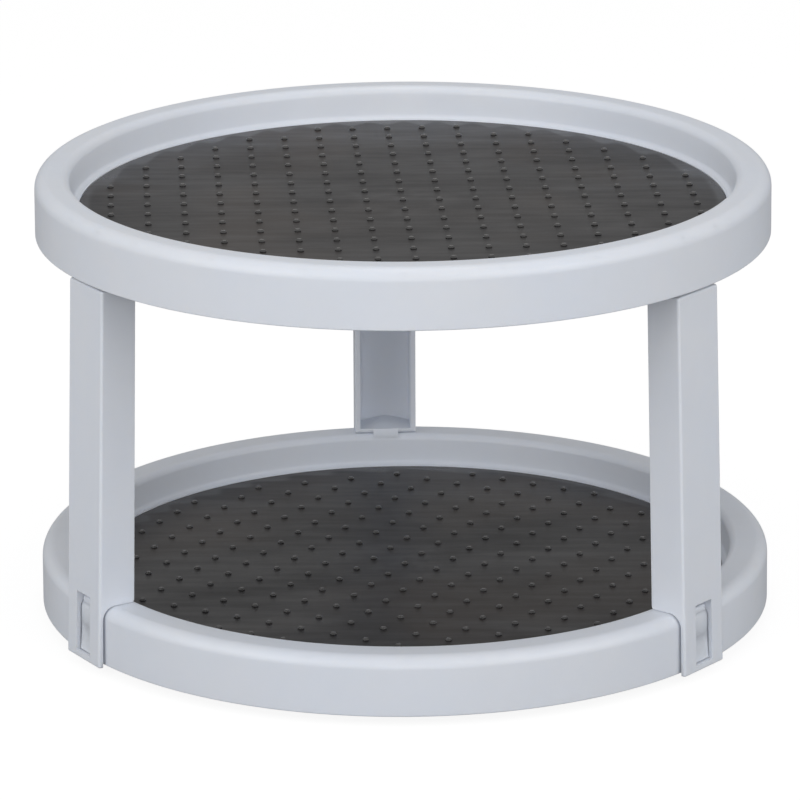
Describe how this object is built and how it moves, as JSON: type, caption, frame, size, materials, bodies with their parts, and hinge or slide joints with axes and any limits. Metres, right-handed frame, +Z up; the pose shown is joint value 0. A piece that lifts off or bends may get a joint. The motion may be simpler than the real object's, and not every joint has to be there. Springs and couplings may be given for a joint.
{
  "type": "two tier lazy susan turntable",
  "caption": "Two round rimmed trays with rubber mats, held apart by channel posts and turning together on a ball race over a round footed base.",
  "frame": {"origin": "where the turning axis meets the floor, level with the undersides of the feet", "axes": "+Z up along the turning axis; -Y points to the front, between the left and right posts"},
  "size_m": [0.3048, 0.3079, 0.1876],
  "materials": {
    "white_plastic": "satin moulded",
    "base_plastic": "satin moulded",
    "cage_plastic": "natural moulded",
    "mat_rubber": "matt, with small bumps",
    "foot_rubber": "matt",
    "bearing_steel": "polished",
    "zinc_steel": "zinc plated"
  },
  "bodies": {
    "base": {"base_plate": "base_plastic", "pivot_washer": "zinc_steel", "pivot_screw": "zinc_steel", "foot_1": "foot_rubber", "foot_2": "foot_rubber", "foot_3": "foot_rubber", "foot_4": "foot_rubber", "foot_5": "foot_rubber", "foot_6": "foot_rubber"},
    "ball_cage": {"ball_cage": "cage_plastic", "ball_01": "bearing_steel", "ball_02": "bearing_steel", "ball_03": "bearing_steel", "ball_04": "bearing_steel", "ball_05": "bearing_steel", "ball_06": "bearing_steel", "ball_07": "bearing_steel", "ball_08": "bearing_steel", "ball_09": "bearing_steel", "ball_10": "bearing_steel", "ball_11": "bearing_steel", "ball_12": "bearing_steel"},
    "turntable": {"lower_tray": "white_plastic", "lower_mat": "mat_rubber", "upper_tray": "white_plastic", "upper_mat": "mat_rubber", "post_back": "white_plastic", "post_left": "white_plastic", "post_right": "white_plastic"}
  },
  "joints": [
    {"name": "tray_spin", "type": "hinge", "parent": "base", "child": "turntable", "pos_m": [0, 0, 0.00865], "axis": [0, 0, 1], "continuous": true},
    {"name": "cage_spin", "type": "hinge", "parent": "base", "child": "ball_cage", "pos_m": [0, 0, 0.00582], "axis": [0, 0, 1], "continuous": true}
  ],
  "couplings": [
    {"joint": "cage_spin", "follows": "tray_spin", "ratio": 0.5}
  ]
}
